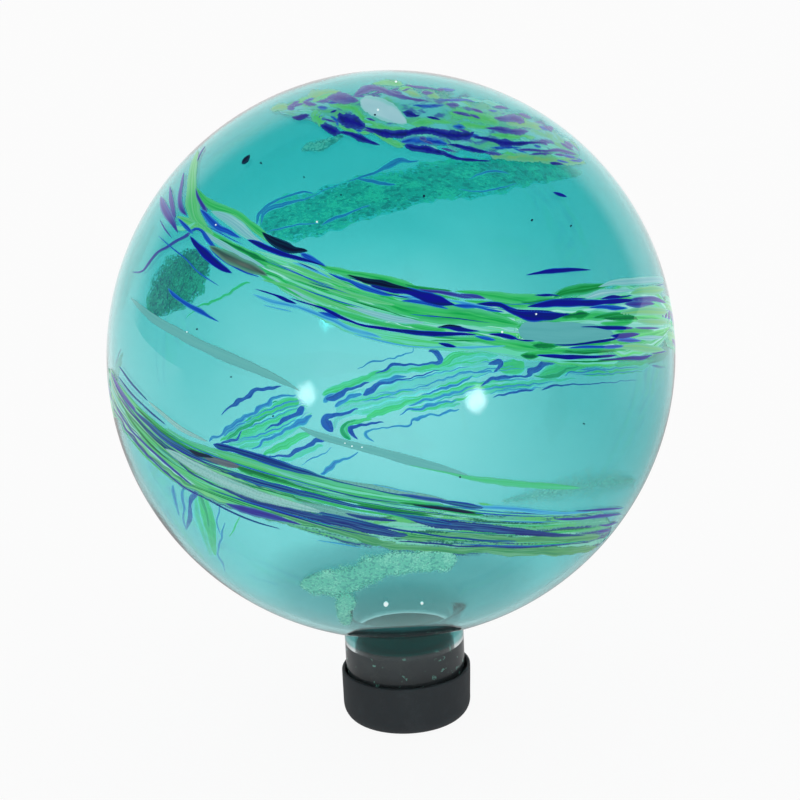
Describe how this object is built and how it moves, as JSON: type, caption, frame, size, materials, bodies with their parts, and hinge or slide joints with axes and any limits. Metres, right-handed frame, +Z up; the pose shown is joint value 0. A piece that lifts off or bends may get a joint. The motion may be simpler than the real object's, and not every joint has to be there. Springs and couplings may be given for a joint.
{
  "type": "garden gazing ball",
  "caption": "Hollow blown-glass garden gazing ball in teal with coloured glass trails melted into its skin, an open neck closed by a rubber plug, and a rubber boot to stand on.",
  "frame": {"origin": "centre of the rubber boot's foot, on the surface it stands on", "axes": "+Z up along the neck and through the top of the ball; the pictured side faces -Y, with +X on the picture's right"},
  "size_m": [0.254, 0.254, 0.3015],
  "materials": {
    "teal_glass": "clear blown glass, tinted teal",
    "green_glass": "melted opaque green glass",
    "navy_glass": "melted dense navy glass",
    "blue_glass": "melted violet-blue glass",
    "pale_glass": "melted milky glass",
    "dark_glass": "melted dark speckled glass",
    "mint_glass": "fine mint grains melted in",
    "black_rubber": "matte moulded rubber"
  },
  "bodies": {
    "globe": {"glass_globe": "teal_glass", "crown_pale_chip": "pale_glass", "crown_left_trail": "green_glass", "crown_right_trail": "green_glass", "crown_navy_trail": "navy_glass", "upper_green_trail": "green_glass", "upper_pale_trail": "pale_glass", "upper_navy_trail": "navy_glass", "upper_dark_trail": "dark_glass", "right_navy_trail": "navy_glass", "right_pale_trail": "pale_glass", "long_pale_trail": "pale_glass", "long_green_trail": "green_glass", "lower_navy_trail": "navy_glass", "lower_green_trail": "green_glass", "lower_pale_trail": "pale_glass", "lower_blue_trail": "blue_glass", "back_green_trail": "green_glass", "back_navy_trail": "navy_glass", "back_speckled_trail": "dark_glass", "left_speckled_trail": "dark_glass", "mint_patch": "mint_glass"},
    "plug": {"neck_plug": "black_rubber"},
    "boot": {"rubber_boot": "black_rubber"}
  },
  "joints": [
    {"name": "plug_pull", "type": "slide", "parent": "globe", "child": "plug", "axis": [0, 0, -1], "range_m": [0, 0.05]},
    {"name": "boot_pull", "type": "slide", "parent": "plug", "child": "boot", "axis": [0, 0, -1], "range_m": [0, 0.03]}
  ]
}
